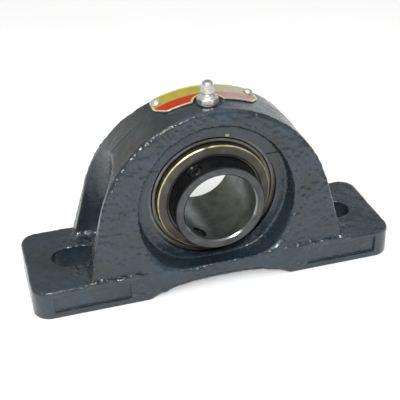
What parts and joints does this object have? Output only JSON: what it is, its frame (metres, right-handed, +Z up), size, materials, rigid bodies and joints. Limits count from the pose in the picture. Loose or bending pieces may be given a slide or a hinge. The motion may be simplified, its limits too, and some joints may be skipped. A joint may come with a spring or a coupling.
{
  "type": "pillow block mounted ball bearing",
  "caption": "Cast iron pillow block with slotted feet, holding a self-aligning ball bearing with a set screw collar, grease fitting and nameplate.",
  "frame": {"origin": "centre of the base's underside, straight below the shaft axis's middle", "axes": "+X along the base, +Y along the shaft axis from the set screw collar to the back, +Z up"},
  "size_m": [0.165, 0.0476, 0.0908],
  "materials": {
    "housing_enamel": "semi-gloss blue grey enamel over rough sand casting",
    "bearing_steel": "ground bearing steel",
    "black_oxide_steel": "ground steel darkened with black oxide",
    "ball_steel": "polished chrome steel",
    "cage_steel": "pressed steel strip",
    "flinger_steel": "yellow passivated pressed steel, greasy",
    "seal_rubber": "black nitrile rubber",
    "zinc_plated_steel": "bright zinc plate",
    "spring_steel": "drawn spring wire",
    "nameplate_metal": "thin plate with worn gold lacquer and a cream border"
  },
  "bodies": {
    "housing": {"housing": "housing_enamel", "grease_fitting_body": "zinc_plated_steel", "grease_spring": "spring_steel", "nameplate": "nameplate_metal", "drive_screw_left": "zinc_plated_steel", "drive_screw_right": "zinc_plated_steel"},
    "lock_pin": {"lock_pin": "zinc_plated_steel"},
    "outer_ring": {"outer_ring": "bearing_steel", "front_seal_case": "bearing_steel", "front_seal_lip": "seal_rubber", "rear_seal_case": "bearing_steel", "rear_seal_lip": "seal_rubber"},
    "inner_ring": {"inner_ring": "black_oxide_steel", "front_flinger": "flinger_steel", "rear_flinger": "flinger_steel"},
    "cage": {"cage_front": "cage_steel", "cage_rear": "cage_steel"},
    "ball_1": {"ball_1": "ball_steel"},
    "ball_2": {"ball_2": "ball_steel"},
    "ball_3": {"ball_3": "ball_steel"},
    "ball_4": {"ball_4": "ball_steel"},
    "ball_5": {"ball_5": "ball_steel"},
    "ball_6": {"ball_6": "ball_steel"},
    "ball_7": {"ball_7": "ball_steel"},
    "ball_8": {"ball_8": "ball_steel"},
    "ball_9": {"ball_9": "ball_steel"},
    "set_screw_1": {"set_screw_1": "black_oxide_steel"},
    "set_screw_2": {"set_screw_2": "black_oxide_steel"},
    "grease_check_ball": {"grease_check_ball": "ball_steel"}
  },
  "joints": [
    {"name": "self_align_pitch", "type": "hinge", "parent": "housing", "child": "lock_pin", "pos_m": [0, 0, 0.0397], "axis": [1, 0, 0], "range_deg": [-2, 2]},
    {"name": "self_align_yaw", "type": "hinge", "parent": "lock_pin", "child": "outer_ring", "pos_m": [0, 0, 0.0397], "axis": [0, 0, 1], "range_deg": [-2, 2]},
    {"name": "shaft_spin", "type": "hinge", "parent": "outer_ring", "child": "inner_ring", "pos_m": [0, 0, 0.0397], "axis": [0, 1, 0], "continuous": true},
    {"name": "cage_orbit", "type": "hinge", "parent": "outer_ring", "child": "cage", "pos_m": [0, 0, 0.0397], "axis": [0, 1, 0], "continuous": true},
    {"name": "ball_1_spin", "type": "hinge", "parent": "cage", "child": "ball_1", "pos_m": [-0.00787, 0, 0.06131], "axis": [0, 1, 0], "continuous": true},
    {"name": "ball_2_spin", "type": "hinge", "parent": "cage", "child": "ball_2", "pos_m": [-0.01992, 0, 0.0512], "axis": [0, 1, 0], "continuous": true},
    {"name": "ball_3_spin", "type": "hinge", "parent": "cage", "child": "ball_3", "pos_m": [-0.02265, 0, 0.03571], "axis": [0, 1, 0], "continuous": true},
    {"name": "ball_4_spin", "type": "hinge", "parent": "cage", "child": "ball_4", "pos_m": [-0.01478, 0, 0.02208], "axis": [0, 1, 0], "continuous": true},
    {"name": "ball_5_spin", "type": "hinge", "parent": "cage", "child": "ball_5", "pos_m": [0, 0, 0.0167], "axis": [0, 1, 0], "continuous": true},
    {"name": "ball_6_spin", "type": "hinge", "parent": "cage", "child": "ball_6", "pos_m": [0.01478, 0, 0.02208], "axis": [0, 1, 0], "continuous": true},
    {"name": "ball_7_spin", "type": "hinge", "parent": "cage", "child": "ball_7", "pos_m": [0.02265, 0, 0.03571], "axis": [0, 1, 0], "continuous": true},
    {"name": "ball_8_spin", "type": "hinge", "parent": "cage", "child": "ball_8", "pos_m": [0.01992, 0, 0.0512], "axis": [0, 1, 0], "continuous": true},
    {"name": "ball_9_spin", "type": "hinge", "parent": "cage", "child": "ball_9", "pos_m": [0.00787, 0, 0.06131], "axis": [0, 1, 0], "continuous": true},
    {"name": "set_screw_1_travel", "type": "slide", "parent": "inner_ring", "child": "set_screw_1", "axis": [-0.5, 0, 0.866], "range_m": [-0.0003, 0.002]},
    {"name": "set_screw_2_travel", "type": "slide", "parent": "inner_ring", "child": "set_screw_2", "axis": [-0.5, 0, -0.866], "range_m": [-0.0003, 0.002]},
    {"name": "grease_check_travel", "type": "slide", "parent": "housing", "child": "grease_check_ball", "axis": [0, 0, -1], "range_m": [0, 0.0008], "stiffness_N_per_m": 100, "springref_m": -0.001, "deforming": ["grease_spring"]}
  ],
  "couplings": [
    {"joint": "cage_orbit", "follows": "shaft_spin", "ratio": 0.3965},
    {"joint": "ball_1_spin", "follows": "shaft_spin", "ratio": -2.311},
    {"joint": "ball_2_spin", "follows": "shaft_spin", "ratio": -2.311},
    {"joint": "ball_3_spin", "follows": "shaft_spin", "ratio": -2.311},
    {"joint": "ball_4_spin", "follows": "shaft_spin", "ratio": -2.311},
    {"joint": "ball_5_spin", "follows": "shaft_spin", "ratio": -2.311},
    {"joint": "ball_6_spin", "follows": "shaft_spin", "ratio": -2.311},
    {"joint": "ball_7_spin", "follows": "shaft_spin", "ratio": -2.311},
    {"joint": "ball_8_spin", "follows": "shaft_spin", "ratio": -2.311},
    {"joint": "ball_9_spin", "follows": "shaft_spin", "ratio": -2.311}
  ]
}
